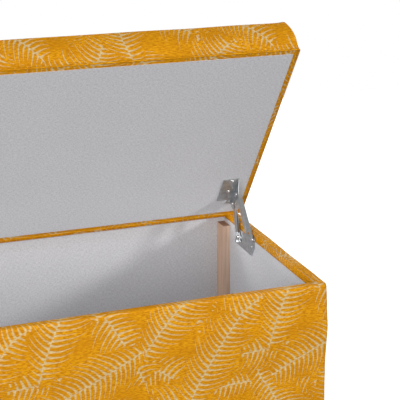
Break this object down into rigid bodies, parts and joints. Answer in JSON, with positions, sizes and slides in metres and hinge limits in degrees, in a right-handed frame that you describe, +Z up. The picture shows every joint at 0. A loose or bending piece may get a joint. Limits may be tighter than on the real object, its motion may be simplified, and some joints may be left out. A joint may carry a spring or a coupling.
{
  "type": "storage ottoman",
  "caption": "Upholstered rectangular storage chest bench with a padded lid standing open on paired four-bar lift hinges, lined inside.",
  "frame": {"origin": "on the floor under the middle of the chest's footprint", "axes": "+X along the chest to its right end, +Y from front to back where the lid hinges, +Z up; stored with the lid open"},
  "size_m": [0.904, 0.4, 0.7025],
  "materials": {
    "cover_fabric": "matte",
    "lining_cloth": "matte",
    "dust_cloth": "matte",
    "wadding": "matte",
    "foam": "matte",
    "board": "matte",
    "pine": "matte",
    "hinge_steel": "satin",
    "screw_steel": "satin",
    "staple_steel": "satin",
    "glide_plastic": "matte"
  },
  "bodies": {
    "chest": {"front_panel": "board", "back_panel": "board", "left_panel": "board", "right_panel": "board", "front_wadding": "wadding", "back_wadding": "wadding", "left_wadding": "wadding", "right_wadding": "wadding", "front_cover": "cover_fabric", "back_cover": "cover_fabric", "left_cover": "cover_fabric", "right_cover": "cover_fabric", "front_lining": "lining_cloth", "back_lining": "lining_cloth", "left_lining": "lining_cloth", "right_lining": "lining_cloth", "front_batten": "pine", "back_batten": "pine", "left_batten": "pine", "right_batten": "pine", "front_left_post": "pine", "front_right_post": "pine", "rear_left_post": "pine", "rear_right_post": "pine", "base_panel": "board", "base_lining": "lining_cloth", "dust_cover": "dust_cloth", "glides": "glide_plastic", "glide_nails": "screw_steel", "panel_screws": "screw_steel", "base_staples": "staple_steel", "rim_staples": "staple_steel", "left_wall_bracket": "hinge_steel", "right_wall_bracket": "hinge_steel", "wall_rivets": "hinge_steel", "wall_collars": "hinge_steel", "wall_screws": "hinge_steel"},
    "rear_arms": {"left_rear_arm": "hinge_steel", "right_rear_arm": "hinge_steel"},
    "front_arms": {"left_front_arm": "hinge_steel", "right_front_arm": "hinge_steel", "front_arm_studs": "hinge_steel"},
    "lid": {"lid_board": "board", "lid_foam": "foam", "lid_wadding": "wadding", "lid_cover": "cover_fabric", "lid_lining": "lining_cloth", "lid_staples": "staple_steel", "left_lid_bracket": "hinge_steel", "right_lid_bracket": "hinge_steel", "lid_rivets": "hinge_steel", "lid_collars": "hinge_steel", "lid_screws": "hinge_steel"}
  },
  "joints": [
    {"name": "lid_lift", "type": "hinge", "parent": "chest", "child": "rear_arms", "pos_m": [0, 0.1045, 0.3118], "axis": [-1, 0, 0], "range_deg": [0, 56.86]},
    {"name": "front_arm_swing", "type": "hinge", "parent": "chest", "child": "front_arms", "pos_m": [0, 0.0475, 0.3258], "axis": [-1, 0, 0], "range_deg": [0, 45.59]},
    {"name": "lid_tilt", "type": "hinge", "parent": "rear_arms", "child": "lid", "pos_m": [0, 0.12002, 0.36795], "axis": [1, 0, 0], "range_deg": [0, 112.47]}
  ],
  "couplings": [
    {"joint": "front_arm_swing", "follows": "lid_lift", "ratio": 0.80164},
    {"joint": "lid_tilt", "follows": "lid_lift", "ratio": 1.9779}
  ]
}
